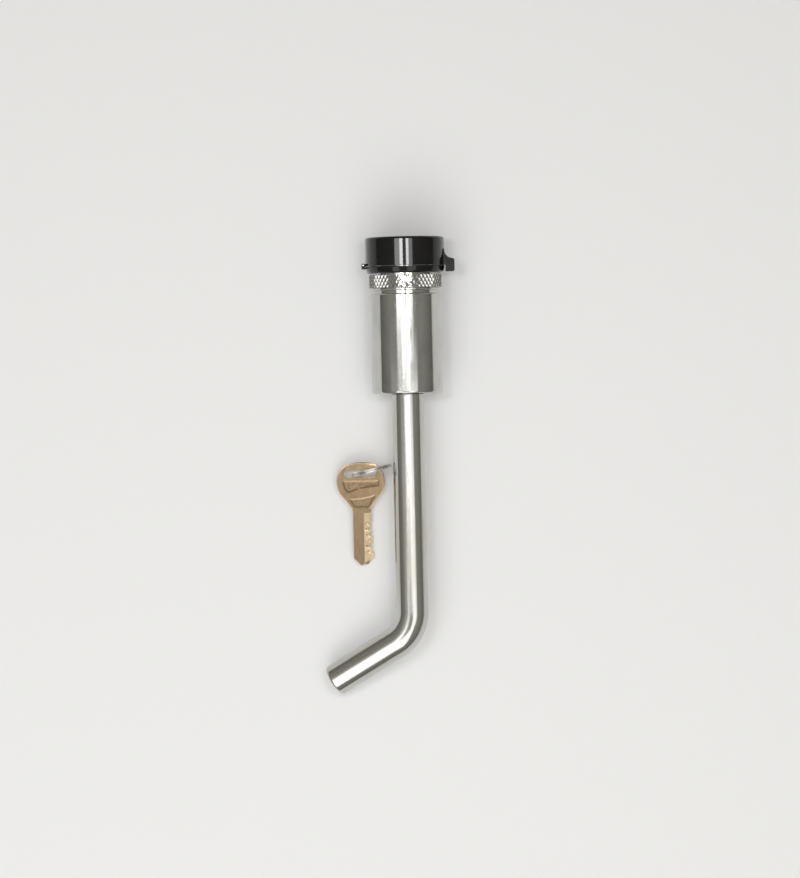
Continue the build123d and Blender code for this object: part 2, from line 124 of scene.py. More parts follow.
class HeadSizes(bpy.types.PropertyGroup):
    """Sizes of the lock head."""

    knurl_starts: IntProperty(name="Knurl starts", description="Diamonds round it", default=52, min=12)
    knurl_angle: angle("Knurl angle", "Lead of the knurl from the head's axis", 33.0)
    knurl_depth: length("Knurl depth", "Height of a diamond", 0.5 * MM)
    cap_wall: length("Cap wall", "Thickness of the cap's side", 2.3 * MM)
    cap_roof: length("Cap roof", "Thickness of the cap's end", 2.0 * MM)
    cap_round: length("Cap rounding", "Radius of the cap's rim", 1.2 * MM)
    dowel_radius: length("Dowel radius", "Radius of the cross dowel", 1.9 * MM)
    dowel_turn: angle("Dowel turn", "How far the dowel is turned from straight up", 8.9)


class KeySizes(bpy.types.PropertyGroup):
    """Sizes of a key and the key ring."""

    thickness: length("Thickness", "Thickness of the blank", 2.0 * MM)
    tilt: angle("Tilt", "How far a key's bow is raised as it lies on the ring", 4.0)
    fan: angle("Fan", "How far the lower key is turned from the upper one", 3.0)
    ring_radius: length("Ring radius", "Outer radius of the split ring", 10.3 * MM)
    ring_inner: length("Ring inner radius", "Inner radius of the split ring", 9.1 * MM)
    ring_width: length("Ring width", "Width of the ring's two turns together", 2.0 * MM)
    ring_slant: angle("Ring slant", "Angle of the ring to the shank's cross section", 13.8)


class Colours(bpy.types.PropertyGroup):
    """Colours of the metals and plastics."""

    chrome: colour("Chrome", "Plating of the pin and the barrel", (0.57, 0.57, 0.55))
    black: colour("Black", "Plastic of the cap", (0.004, 0.004, 0.004))
    nickel: colour("Nickel", "Plating of the keys", (0.58, 0.42, 0.26))
    brass: colour("Brass", "Bare brass of the plug and the cut key edges", (0.80, 0.61, 0.33))
    zinc: colour("Zinc", "Cast lock housing", (0.60, 0.60, 0.58))
    steel: colour("Steel", "Hardened inner parts", (0.42, 0.41, 0.39))
    wire: colour("Wire", "Spring steel of the ring, the clip and the springs", (0.78, 0.77, 0.74))
    rubber: colour("Rubber", "Seal in the barrel's mouth", (0.018, 0.018, 0.018))
    paper: colour("Floor", "Surface that the set lies on", (0.80, 0.80, 0.80))


# --- shader writing -----------------------------------------------------------------------------


class Signal:
    """A number that varies over a surface. Arithmetic on it adds the Math nodes that work it out."""

    def __init__(self, finish, socket):
        self.finish = finish
        self.socket = socket

    def maths(self, operation, *terms):
        return self.finish.node("ShaderNodeMath", {"operation": operation}, dict(enumerate(terms)))

    def __add__(self, other):
        return self.maths("ADD", self, other)

    __radd__ = __add__

    def __sub__(self, other):
        return self.maths("SUBTRACT", self, other)

    def __rsub__(self, other):
        return self.maths("SUBTRACT", other, self)

    def __mul__(self, other):
        return self.maths("MULTIPLY", self, other)

    __rmul__ = __mul__

    def between(self, low, high):
        """0 below low, 1 above high, and smooth in between."""
        sockets = {"Value": self, "From Min": low, "From Max": high}
        return self.finish.node("ShaderNodeMapRange", {"interpolation_type": "SMOOTHSTEP"}, sockets)


class Finish:
    """A procedural material on one Principled shader."""

    def __init__(self, name, **shader_values):
        self.material = bpy.data.materials.new(name)
        self.material.use_nodes = True
        self.tree = self.material.node_tree
        self.tree.nodes.clear()
        self.shader = self.tree.nodes.new("ShaderNodeBsdfPrincipled")
        output = self.tree.nodes.new("ShaderNodeOutputMaterial")
        self.tree.links.new(self.shader.outputs[0], output.inputs["Surface"])
        for name, value in shader_values.items():
            self.set(name.replace("_", " "), value)

    def node(self, kind, settings=None, sockets=None, output=0):
        """Adds a node: its settings first, then the values or links of its sockets."""
        made = self.tree.nodes.new(kind)
        for name, value in (settings or {}).items():
            setattr(made, name, value)
        for name, value in (sockets or {}).items():
            self.feed(made.inputs[name], value)
        return Signal(self, made.outputs[output])

    def feed(self, socket, value):
        if isinstance(value, Signal):
            self.tree.links.new(value.socket, socket)
        elif socket.type == "RGBA":
            socket.default_value = (*value[:3], 1)
        else:
            socket.default_value = value

    def set(self, name, value):
        self.feed(self.shader.inputs[name], value)

    def place(self, scale=(1, 1, 1), turn=(0, 0, 0), attribute=None):
        """Object coordinates, or a piece's own attribute, stretched and turned."""
        if attribute:
            source = self.node("ShaderNodeAttribute", {"attribute_name": attribute}, output="Vector")
        else:
            source = self.node("ShaderNodeTexCoord", output="Object")
        return self.node("ShaderNodeMapping", None, {"Vector": source, "Scale": scale, "Rotation": turn})

    def noise(self, place, scale=1.0, detail=2.0, roughness=0.5):
        sockets = {"Vector": place, "Scale": scale, "Detail": detail, "Roughness": roughness}
        return self.node("ShaderNodeTexNoise", None, sockets)

    def mix(self, factor, first, second):
        """Blends two colours."""
        return self.node("ShaderNodeMix", {"data_type": "RGBA"}, {0: factor, 6: first, 7: second}, 2)

    def done(self, base, rough, height, depth):
        """Sets the colour and the roughness, and raises the surface by up to depth where height is 1."""
        self.set("Base Color", base)
        self.set("Roughness", rough)
        sockets = {"Height": height, "Distance": depth, "Strength": 1.0}
        self.set("Normal", self.node("ShaderNodeBump", None, sockets))
        return self.material


def chrome_bar(colours):
    """Plating on drawn bar: faint draw lines along the bar, wipe marks, pin holes and a warm haze."""
    finish = Finish("chrome_bar", Metallic=1.0)
    lines = finish.noise(finish.place((900, 7, 900), attribute="straight"), detail=3, roughness=0.6)
    hairs = finish.noise(finish.place((2600, 24, 2600), attribute="straight"))
    haze = finish.noise(finish.place((60, 26, 60), attribute="straight"), detail=3, roughness=0.6)
    specks = finish.noise(finish.place(attribute="straight"), scale=1500, roughness=0.6)
    pits = specks.between(0.66, 0.76)
    bright = colours.chrome
    warm = [channel * tint for channel, tint in zip(bright, (0.92, 0.90, 0.84))]
    plate = finish.mix(haze.between(0.35, 0.7), bright, warm)
    base = finish.mix(pits, plate, (0.26, 0.24, 0.21))
    drawn = lines.between(0.45, 0.75) * 0.12
    rough = 0.15 + drawn + haze.between(0.4, 0.8) * 0.07 + pits * 0.2
    return finish.done(base, rough, lines * 0.5 + hairs * 0.4 - pits * 0.8, 0.0016 * MM)


def chrome_turned(colours):
    """Bright plating on turned parts: fine tool rings, wipe marks and small scratches."""
    finish = Finish("chrome_turned", Metallic=1.0)
    rings = finish.noise(finish.place((40, 5200, 40)))
    wipe = finish.noise(finish.place((120, 60, 120)), detail=3, roughness=0.6)
    scratch_place = finish.place((350, 60, 350), (0.3, 0.5, 0.7))
    scratches = finish.noise(scratch_place, scale=9, roughness=0.4).between(0.62, 0.7)
    bright = colours.chrome
    shade = [channel * 0.86 for channel in bright]
    base = finish.mix(wipe.between(0.4, 0.75), bright, shade)
    rough = 0.09 + wipe.between(0.4, 0.8) * 0.08 + scratches * 0.12
    return finish.done(base, rough, rings * 0.5 + scratches * 0.4, 0.0012 * MM)


def black_plastic(colours):
    """Glossy moulded black: a soft ripple in the skin, faint dust haze and hairline scuffs."""
    finish = Finish("black_plastic", Coat_Weight=1.0, Coat_Roughness=0.05, Coat_IOR=1.38)
    finish.set("Specular IOR Level", 0.1)
    ripple = finish.noise(finish.place(), scale=320, detail=1, roughness=0.4)
    grain = finish.noise(finish.place(), scale=2600)
    haze = finish.noise(finish.place((70, 70, 70)), detail=4, roughness=0.6).between(0.45, 0.8)
    scuffs = finish.noise(finish.place((1400, 90, 700), (0.4, 0.2, 0.9))).between(0.68, 0.74)
    dusty = [channel + 0.006 for channel in colours.black]
    base = finish.mix(haze * 0.7 + scuffs * 0.3, colours.black, dusty)
    rough = 0.24 + haze * 0.1 + scuffs * 0.2
    return finish.done(base, rough, ripple * 0.8 + grain * 0.15 - scuffs * 0.3, 0.006 * MM)


def plated_key(colours):
    """Nickel over brass: brushed faces with brass worn through in places."""
    finish = Finish("plated_key", Metallic=1.0)
    lines = finish.noise(finish.place((1700, 80, 1700)), detail=3, roughness=0.6)
    worn = finish.noise(finish.place(), scale=260, detail=4, roughness=0.7).between(0.5, 0.72)
    dirt = finish.noise(finish.place(), scale=520, detail=3, roughness=0.7).between(0.56, 0.75)
    warm = [0.5 * (first + second) for first, second in zip(colours.nickel, colours.brass)]
    metal = finish.mix(worn * 0.6, colours.nickel, warm)
    base = finish.mix(dirt * 0.4, metal, (0.26, 0.19, 0.12))
    rough = 0.13 + lines * 0.11
    return finish.done(base, rough, lines, 0.003 * MM)


def sunk_key(colours):
    """The sunk floors of a key's bow: a sand-struck skin mottled with dirt, painted darker as shade in the
    recess.
    """
    finish = Finish("sunk_key", Metallic=1.0)
    sand = finish.noise(finish.place(), scale=1300, detail=3, roughness=0.65)
    dirt = finish.noise(finish.place(), scale=700, detail=4, roughness=0.7).between(0.46, 0.66)
    # Both tones are painted shade: half and a quarter of the nickel, darker because the floors lie in the
    # recess.
    light = [channel * 0.5 for channel in colours.nickel]
    dirt_and_shade = [channel * 0.25 for channel in colours.nickel]
    base = finish.mix(dirt, light, dirt_and_shade)
    rough = 0.3 + dirt * 0.15
    return finish.done(base, rough, sand, 0.03 * MM)


def cut_brass(colours):
    """Freshly milled brass: sharp cutter lines across the cut."""
    finish = Finish("cut_brass", Metallic=1.0)
    lines = finish.noise(finish.place((60, 60, 5000)))
    tone = finish.noise(finish.place(), scale=700)
    pale = [channel * 0.5 + 0.3 for channel in colours.brass]
    base = finish.mix(tone, colours.brass, pale)
    rough = 0.16 + lines * 0.16
    return finish.done(base, rough, lines, 0.003 * MM)


def ring_wire(colours):
    """Polished spring steel: draw marks round the ring."""
    finish = Finish("ring_wire", Metallic=1.0)
    marks = finish.noise(finish.place((1200, 1200, 1200)), detail=3, roughness=0.6)
    tone = finish.noise(finish.place(), scale=300)
    dull = (0.62, 0.60, 0.57)
    base = finish.mix(tone, colours.wire, dull)
    rough = 0.2 + marks * 0.15
    return finish.done(base, rough, marks, 0.002 * MM)


def turned_brass(colours):
    """Turned brass of the plug: face rings and a dull film."""
    finish = Finish("turned_brass", Metallic=1.0)
    place = finish.place((1, 0.02, 1))
    reach = finish.node("ShaderNodeVectorMath", {"operation": "LENGTH"}, {0: place}, "Value")
    rings = finish.noise(finish.node("ShaderNodeCombineXYZ", None, {0: reach}), scale=3800)
    film = finish.noise(finish.place(), scale=420, detail=4, roughness=0.6).between(0.4, 0.7)
    dull = [channel * 0.6 for channel in colours.brass]
    base = finish.mix(film, colours.brass, dull)
    rough = 0.22 + film * 0.15 + rings * 0.08
    return finish.done(base, rough, rings, 0.004 * MM)


def zinc_cast(colours):
    """Die cast zinc: fine sandy skin with duller patches."""
    finish = Finish("zinc_cast", Metallic=1.0)
    skin = finish.noise(finish.place(), scale=1800, detail=3, roughness=0.6)
    patch = finish.noise(finish.place(), scale=160, detail=3, roughness=0.6).between(0.4, 0.7)
    dull = [channel * 0.7 for channel in colours.zinc]
    base = finish.mix(patch, colours.zinc, dull)
    rough = 0.34 + patch * 0.14
    return finish.done(base, rough, skin, 0.01 * MM)


def hard_steel(colours):
    """Hardened and oiled steel: grinding lines and a brown film."""
    finish = Finish("hard_steel", Metallic=1.0)
    lines = finish.noise(finish.place((200, 4200, 200)))
    film = finish.noise(finish.place(), scale=300, detail=4, roughness=0.6).between(0.45, 0.7)
    brown = [channel * tint for channel, tint in zip(colours.steel, (0.75, 0.68, 0.58))]
    base = finish.mix(film, colours.steel, brown)
    rough = 0.26 + film * 0.14
    return finish.done(base, rough, lines, 0.003 * MM)


def moulded_rubber(colours):
    """Moulded rubber with a grey bloom."""
    finish = Finish("moulded_rubber", Specular_IOR_Level=0.4)
    bloom = finish.noise(finish.place(), scale=600, detail=4, roughness=0.6).between(0.45, 0.75)
    grey = [channel + 0.03 for channel in colours.rubber]
    base = finish.mix(bloom, colours.rubber, grey)
    rough = 0.55 + bloom * 0.2
    return finish.done(base, rough, bloom, 0.006 * MM)


def floor_paper(colours):
    """Smooth matt white board, faintly lit from below."""
    finish = Finish("floor_paper", Emission_Strength=0.1, Specular_IOR_Level=0.2)
    finish.set("Emission Color", (0.97, 0.98, 1.0))
    fibre = finish.noise(finish.place(), scale=900, detail=3, roughness=0.6)
    grey = [channel * 0.985 for channel in colours.paper]
    finish.set("Base Color", finish.mix(fibre, colours.paper, grey))
    finish.set("Roughness", 0.85)
    return finish.material


FINISHES = {
    "chrome_pin": chrome_bar,
    "chrome_head": chrome_turned,
    "black_cap": black_plastic,
    "seal_rubber": moulded_rubber,
    "hardened_steel": hard_steel,
    "zinc_housing": zinc_cast,
    "lock_brass": turned_brass,
    "spring_steel": ring_wire,
    "nickel_key": plated_key,
    "ring_steel": ring_wire,
    "cut_brass": cut_brass,
    "sunk_key": sunk_key,
    "floor_paper": floor_paper,
}


def material_for(slot):
    """The material of a slot, made the first time that it is asked for."""
    maker = FINISHES[slot]
    if maker.__name__ not in bpy.data.materials:
        maker(bpy.context.scene.lock_colours)
    return bpy.data.materials[maker.__name__]


# --- mesh helpers -------------------------------------------------------------------------------


def lathe(bm, profile, steps=96, closed=False):
    """Turns a profile of (radius, height) points round the Y axis."""
    verts = [bm.verts.new((radius, height, 0)) for radius, height in profile]
    ends = verts[1:] + verts[:1] if closed else verts[1:]
    edges = [bm.edges.new(pair) for pair in zip(verts, ends)]
    bmesh.ops.spin(
        bm, geom=verts + edges, cent=(0, 0, 0), axis=(0, 1, 0), dvec=(0, 0, 0), angle=TURN, steps=steps,
        use_merge=True,
    )
    tidy(bm)


def tidy(bm):
    """Welds what meets and turns every face outwards."""
    bmesh.ops.remove_doubles(bm, verts=bm.verts[:], dist=TINY)
    bmesh.ops.recalc_face_normals(bm, faces=bm.faces[:])


def verts_in(items):
    """The vertices among a tool's results."""
    return [item for item in items if isinstance(item, bmesh.types.BMVert)]


def edges_in(items):
    """The edges among a tool's results."""
    return [item for item in items if isinstance(item, bmesh.types.BMEdge)]


def whole(bm):
    """Everything in a mesh."""
    return bm.verts[:] + bm.edges[:] + bm.faces[:]


def soften(bm, width, segments=2, least=28, chosen=None):
    """Rounds the edges that are sharper than a number of degrees."""
    sharp = [
        edge
        for edge in bm.edges
        if edge.is_manifold and edge.calc_face_angle() > math.radians(least) and (not chosen or chosen(edge))
    ]
    bmesh.ops.bevel(
        bm, geom=sharp, offset=width, offset_type="OFFSET", segments=segments, profile=0.5, affect="EDGES",
        clamp_overlap=True, material=-1,
    )


def arc_centre(first, middle, last):
    """Centre of the arc through three points, and the angle that it turns through."""
    ax, ay = first
    bx, by = middle
    cx, cy = last
    double = 2 * (ax * (by - cy) + bx * (cy - ay) + cx * (ay - by))
    a_square, b_square, c_square = ax * ax + ay * ay, bx * bx + by * by, cx * cx + cy * cy
    x = (a_square * (by - cy) + b_square * (cy - ay) + c_square * (ay - by)) / double
    y = (a_square * (cx - bx) + b_square * (ax - cx) + c_square * (bx - ax)) / double
    start = math.atan2(ay - y, ax - x)
    end = math.atan2(cy - y, cx - x)
    turned = (end - start) % TURN
    if double < 0:
        turned -= TURN
    return (x, y, 0), turned


def trace(bm, start, moves, steps=10):
    """Draws a closed outline in the XY plane, in millimetres, and fills it.

    A move of two numbers is a straight line to a point. A move of four is an arc through a point to another.
    """
    first = bm.verts.new((start[0] * MM, start[1] * MM, 0))
    last = first
    for move in moves:
        ends = [value * MM for value in move]
        if len(ends) == 2:
            fresh = bm.verts.new((*ends, 0))
            bm.edges.new((last, fresh))
            last = fresh
            continue
        centre, turned = arc_centre(last.co.xy, ends[:2], ends[2:])
        made = bmesh.ops.spin(
            bm, geom=[last], cent=centre, axis=(0, 0, 1), dvec=(0, 0, 0), angle=turned, steps=steps
        )
        last = verts_in(made["geom_last"])[0]
    bm.edges.new((last, first))
    return bmesh.ops.contextual_create(bm, geom=bm.edges[:])["faces"][0]


def plate(start, moves, low, high, steps=10):
    """A flat plate with a traced outline, between two heights in millimetres."""
    bm = bmesh.new()
    face = trace(bm, start, moves, steps)
    bmesh.ops.translate(bm, vec=(0, 0, low * MM), verts=bm.verts[:])
    raised = bmesh.ops.extrude_face_region(bm, geom=[face], use_keep_orig=True)["geom"]
    bmesh.ops.translate(bm, vec=(0, 0, (high - low) * MM), verts=verts_in(raised))
    tidy(bm)
    return bm


def rod(radius, depth, place, steps=32):
    """A plain rod, centred on a place, along its Z."""
    bm = bmesh.new()
    bmesh.ops.create_cone(
        bm, cap_ends=True, cap_tris=False, segments=steps, radius1=radius, radius2=radius, depth=depth,
        matrix=place,
    )
    return bm


def block(low, high):
    """A box between two corners, in millimetres."""
    bm = bmesh.new()
    low, high = Vector(low) * MM, Vector(high) * MM
    place = Matrix.Translation((low + high) / 2) @ Matrix.Diagonal((*(high - low), 1))
    bmesh.ops.create_cube(bm, size=1, matrix=place)
    return bm


def worked(bm, tool, operation="DIFFERENCE"):
    """One closed shape cut by, or joined to, another."""
    parts = []
    for source in (bm, tool):
        mesh = bpy.data.meshes.new("work")
        source.to_mesh(mesh)
        source.free()
        part = bpy.data.objects.new("work", mesh)
        bpy.context.scene.collection.objects.link(part)
        parts.append(part)
    body, cutter = parts
    modifier = body.modifiers.new("work", "BOOLEAN")
    modifier.operation = operation
    modifier.solver = "EXACT"
    modifier.object = cutter
    graph = bpy.context.evaluated_depsgraph_get()
    result = bpy.data.meshes.new_from_object(body.evaluated_get(graph))
    made = bmesh.new()
    made.from_mesh(result)
    if not made.faces:
        raise RuntimeError(f"{operation} left nothing")
    for part in parts:
        mesh = part.data
        bpy.data.objects.remove(part)
        bpy.data.meshes.remove(mesh)
    bpy.data.meshes.remove(result)
    bmesh.ops.remove_doubles(made, verts=made.verts[:], dist=2 * TINY)
    return made


def joined(bm, other):
    """Adds another shape's mesh to this one, as it is."""
    mesh = bpy.data.meshes.new("work")
    other.to_mesh(mesh)
    other.free()
    bm.from_mesh(mesh)
    bpy.data.meshes.remove(mesh)
    return bm


def finish_piece(name, bm, body, slot, nodes=(), sharp=34, extra=()):
    """Makes the object, gives it its material, and ties it to the frame."""
    mesh = bpy.data.meshes.new(name)
    bm.to_mesh(mesh)
    bm.free()
    for finish in (slot, *extra):
        mesh.materials.append(material_for(finish))
    mesh.shade_smooth()
    mesh.set_sharp_from_angle(angle=math.radians(sharp))
    piece = bpy.data.objects.new(name, mesh)
    bpy.context.scene.collection.objects.link(piece)
    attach(piece, body)
    if nodes:
        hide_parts(*nodes)
    even = piece.modifiers.new("even shading", "WEIGHTED_NORMAL")
    even.keep_sharp = True
    return piece


def head(radius, height):
    """A profile point of the head: its radius, and its height above the barrel's mouth, in millimetres."""
    return radius * MM, MOUTH + height * MM


# --- pin ----------------------------------------------------------------------------------------


def leg_roll(pin):
    """Roll of the leg that brings the rim of its tip level with the side of the cap."""
    drop = (pin.leg_length - pin.tip_bevel) * math.sin(pin.bend_angle)
    flat = pin.shank_radius * math.sin(pin.bend_angle)
    a = drop**2 + flat**2
    b = -FLOOR * drop
    c = FLOOR**2 - pin.shank_radius**2
    return math.asin((b - math.sqrt(b * b - a * c)) / a)


def straightened(point, pin, side, up):
    """Where a point of the pin would be if the bar were never bent."""
    start = pin.bend_radius * math.tan(pin.bend_angle / 2)
    along = point.y - pin.corner
    across = point.dot(side)
    lift = point.dot(up)
    if along >= start:
        return Vector((across, along, lift))
    centre = Vector((start, pin.bend_radius))
    offset = Vector((along, across)) - centre
    turned = math.atan2(-offset.x, -offset.y)
    if turned <= pin.bend_angle:
        return Vector((pin.bend_radius - offset.length, start - pin.bend_radius * turned, lift))
    forward = Vector((-math.cos(pin.bend_angle), math.sin(pin.bend_angle)))
    outward = Vector((-math.sin(pin.bend_angle), -math.cos(pin.bend_angle)))
    beyond = start - pin.bend_radius * pin.bend_angle - offset.dot(forward)
    return Vector((pin.bend_radius - offset.dot(outward), beyond, lift))


class PINLOCK_OT_pin(bpy.types.Operator):
    """Makes the bent pin with its turned nose and ball groove"""

    bl_idname = "pin_lock.pin"
    bl_label = "Bent Pin"

    def execute(self, context):
        pin = context.scene.pin_sizes
        roll = leg_roll(pin)
        side = Vector((-math.cos(roll), 0, -math.sin(roll)))
        up = Vector((-math.sin(roll), 0, math.cos(roll)))
        bend_start = pin.corner + pin.bend_radius * math.tan(pin.bend_angle / 2)
        end = PIN_HIGH.y
        nose, groove = pin.nose_radius, MOUTH + pin.groove_height
        half = math.acos((pin.groove_centre - nose) / pin.groove_radius)
        profile = [(0, end), (nose - pin.nose_chamfer, end), (nose, end - pin.nose_chamfer)]
        groove_steps = 12
        for step in range(groove_steps + 1):
            turned = half * (1 - 2 * step / groove_steps)
            radius = pin.groove_centre - pin.groove_radius * math.cos(turned)
            profile.append((radius, groove + pin.groove_radius * math.sin(turned)))
        shoulder = 0.3 * MM
        bar = pin.shank_radius
        profile += [(nose, MOUTH), (bar - shoulder, MOUTH), (bar, MOUTH - shoulder), (bar, bend_start)]
        bm = bmesh.new()
        lathe(bm, profile, 128)
        soften(bm, 0.12 * MM, 2, 25)
        rim = [edge for edge in bm.edges if edge.is_boundary]
        rim_verts = list({vert for edge in rim for vert in edge.verts})
        made = bmesh.ops.spin(
            bm, geom=rim + rim_verts, cent=side * pin.bend_radius + Vector((0, bend_start, 0)), axis=-up,
            dvec=(0, 0, 0), angle=pin.bend_angle, steps=40,
        )
        forward = side * math.sin(pin.bend_angle) + Vector((0, -math.cos(pin.bend_angle), 0))
        tip = Vector((0, pin.corner, 0)) + forward * pin.leg_length
        tip_round = pin.tip_bevel * (1 + math.sqrt(0.5))
        straight = pin.leg_length - pin.bend_radius * math.tan(pin.bend_angle / 2) - tip_round
        last = made["geom_last"]
        radius, reach = bar, 0.0
        tip_steps = 5
        for step in range(tip_steps + 1):
            turned = math.radians(90) * step / tip_steps
            last = bmesh.ops.extrude_edge_only(bm, edges=edges_in(last))["geom"]
            verts = verts_in(last)
            next_reach = straight + tip_round * math.sin(turned)
            next_radius = bar - tip_round * (1 - math.cos(turned))
            bmesh.ops.translate(bm, vec=forward * (next_reach - reach), verts=verts)
            middle = tip - forward * (straight + tip_round - next_reach)
            shrink = next_radius / radius
            bmesh.ops.scale(bm, vec=(shrink, shrink, shrink), space=Matrix.Translation(-middle), verts=verts)
            radius, reach = next_radius, next_reach
        bmesh.ops.contextual_create(bm, geom=edges_in(last))
        tidy(bm)
        piece = finish_piece("pin_bar", bm, "pin", "chrome_pin", ["bent_pin"])
        unbent = piece.data.attributes.new("straight", "FLOAT_VECTOR", "POINT")
        for vert, entry in zip(piece.data.vertices, unbent.data):
            entry.vector = straightened(vert.co, pin, side, up)
        return {"FINISHED"}


# --- head ---------------------------------------------------------------------------------------

# Heights above the barrel's mouth, and distances from the head's axis, in millimetres.
DOWEL_HEIGHT = 54.0
DOWEL_INNER_END = 11.0
KNURL_LOW, KNURL_HIGH = 52.55, 58.75
CAP_FOOT = 63.2
HINGE_X, HINGE_HEIGHT = -20.65, 63.85
KNUCKLE_RADIUS, HINGE_ROD_RADIUS = 0.85, 0.42
SEAT_KNUCKLE_INNER, SEAT_KNUCKLE_OUTER = 2.1, 4.5
CAP_KNUCKLE_HALF = 1.95


def dowel_place(head_sizes, reach):
    """Placement on the dowel's axis, at a distance from the head's axis, with Z outwards."""
    turned = Matrix.Rotation(head_sizes.dowel_turn, 4, "Y")
    middle = Matrix.Translation((0, MOUTH + DOWEL_HEIGHT * MM, 0))
    return middle @ turned @ Matrix.Translation((0, 0, reach))


class PINLOCK_OT_barrel(bpy.types.Operator):
    """Makes the chrome barrel, the seal in its mouth and the cross dowel"""

    bl_idname = "pin_lock.barrel"
    bl_label = "Barrel, Seal and Dowel"

    def execute(self, context):
        sizes = context.scene.head_sizes
        outer = BARREL_HIGH.x / MM
        bore, neck, guide = 15.4, 16.7, 7.78
        outside = [(8.58, 0), (outer - 1.2, 0), (outer - 0.35, 0.35), (outer, 1.2), (outer, 49.0)]
        top = [(outer - 0.5, 49.5), (neck, 49.5), (neck, 65.1), (16.3, 65.5), (bore, 65.5)]
        clip_groove = [(bore, 12.15), (15.9, 12.15), (15.9, 11.05), (bore, 11.05), (bore, 9.0)]
        seal_groove = [(guide, 6.85), (10.34, 6.85), (10.34, 4.15), (guide, 4.15)]
        points = [*outside, *top, *clip_groove, (guide, 9.0), *seal_groove, (guide, 0.8)]
        bm = bmesh.new()
        lathe(bm, [head(*point) for point in points], 128, closed=True)
        soften(bm, 0.15 * MM, 2, 25)
        hole = rod(sizes.dowel_radius + 0.05 * MM, 5 * MM, dowel_place(sizes, 16.0 * MM))
        bm = worked(bm, hole)
        finish_piece("barrel_shell", bm, "head", "chrome_head", ["barrel"])

        seal = bmesh.new()
        wire, reach, height, wire_steps = 1.25 * MM, 8.99 * MM, MOUTH + 5.5 * MM, 20
        profile = []
        for step in range(wire_steps):
            turned = TURN * step / wire_steps
            profile.append((reach - wire * math.sin(turned), height + wire * math.cos(turned)))
        lathe(seal, profile, closed=True)
        finish_piece("mouth_seal", seal, "head", "seal_rubber", ["shank_seal"])

        outer_end, dome = COLLAR_HIGH.x - 0.2 * MM, 0.55 * MM
        dowel = bmesh.new()
        radius = sizes.dowel_radius
        sphere = (radius**2 + dome**2) / (2 * dome)
        steps = 8
        profile = []
        for step in range(steps + 1):
            turned = math.asin(radius / sphere) * step / steps
            profile.append((sphere * math.sin(turned), outer_end - sphere * (1 - math.cos(turned))))
        inner_end, ease = DOWEL_INNER_END * MM, 0.3 * MM
        profile += [(radius, inner_end + ease), (radius - ease, inner_end), (0, inner_end)]
        lathe(dowel, profile, 40)
        stand = dowel_place(sizes, 0) @ Matrix.Rotation(math.radians(90), 4, "X")
        bmesh.ops.transform(dowel, matrix=stand, verts=dowel.verts[:])
        soften(dowel, 0.1 * MM, 2, 30)
        finish_piece("cross_dowel", dowel, "head", "chrome_head", ["head_dowel"])
        return {"FINISHED"}


def knurl(bm, radius, low, high, starts, lead, depth):
    """Wraps a band of raised diamonds round the Y axis, with its crests at a radius."""
    root = radius - depth
    across = TURN * radius / starts
    along = across / math.tan(lead)
    sheet = bmesh.new()
    bmesh.ops.create_circle(sheet, segments=4, radius=0.5, cap_ends=True)
    bmesh.ops.scale(sheet, vec=(across, along, 1), verts=sheet.verts[:])
    crest = sheet.faces[:]
    flank, weld, skirt_depth = across * 0.36, 0.002 * MM, 0.08 * MM
    bmesh.ops.inset_individual(sheet, faces=crest, thickness=flank, depth=0)
    bmesh.ops.translate(sheet, vec=(0, 0, depth), verts=list(crest[0].verts))
    pattern = whole(sheet)
    rows = math.ceil((high - low) / along) + 1
    for row in range(2 * rows + 1):
        for column in range(starts):
            verts = verts_in(bmesh.ops.duplicate(sheet, geom=pattern)["geom"])
            shift = (column + 0.5 * (row % 2)) * across
            bmesh.ops.translate(sheet, vec=(shift, low + (row - 0.5) * along / 2, 0), verts=verts)
    bmesh.ops.delete(sheet, geom=verts_in(pattern), context="VERTS")
    bmesh.ops.remove_doubles(sheet, verts=sheet.verts[:], dist=weld)
    for height, facing in ((low, -1), (high, 1)):
        bmesh.ops.bisect_plane(
            sheet, geom=whole(sheet), dist=TINY, plane_co=(0, height, 0), plane_no=(0, facing, 0),
            clear_outer=True,
        )
    for height, facing in ((low, -1), (high, 1)):
        rim = [
            edge for edge in sheet.edges
            if edge.is_boundary and all(abs(vert.co.y - height) < 0.01 * MM for vert in edge.verts)
        ]
        skirt = bmesh.ops.extrude_edge_only(sheet, edges=rim)["geom"]
        for vert in verts_in(skirt):
            vert.co.y += facing * vert.co.z * 0.7
            vert.co.z = -skirt_depth
    for vert in sheet.verts:
        turned = vert.co.x / radius
        reach = root + vert.co.z
        vert.co = (reach * math.sin(turned), vert.co.y, reach * math.cos(turned))
    bmesh.ops.remove_doubles(sheet, verts=sheet.verts[:], dist=weld)
    bmesh.ops.recalc_face_normals(sheet, faces=sheet.faces[:])
    return joined(bm, sheet)


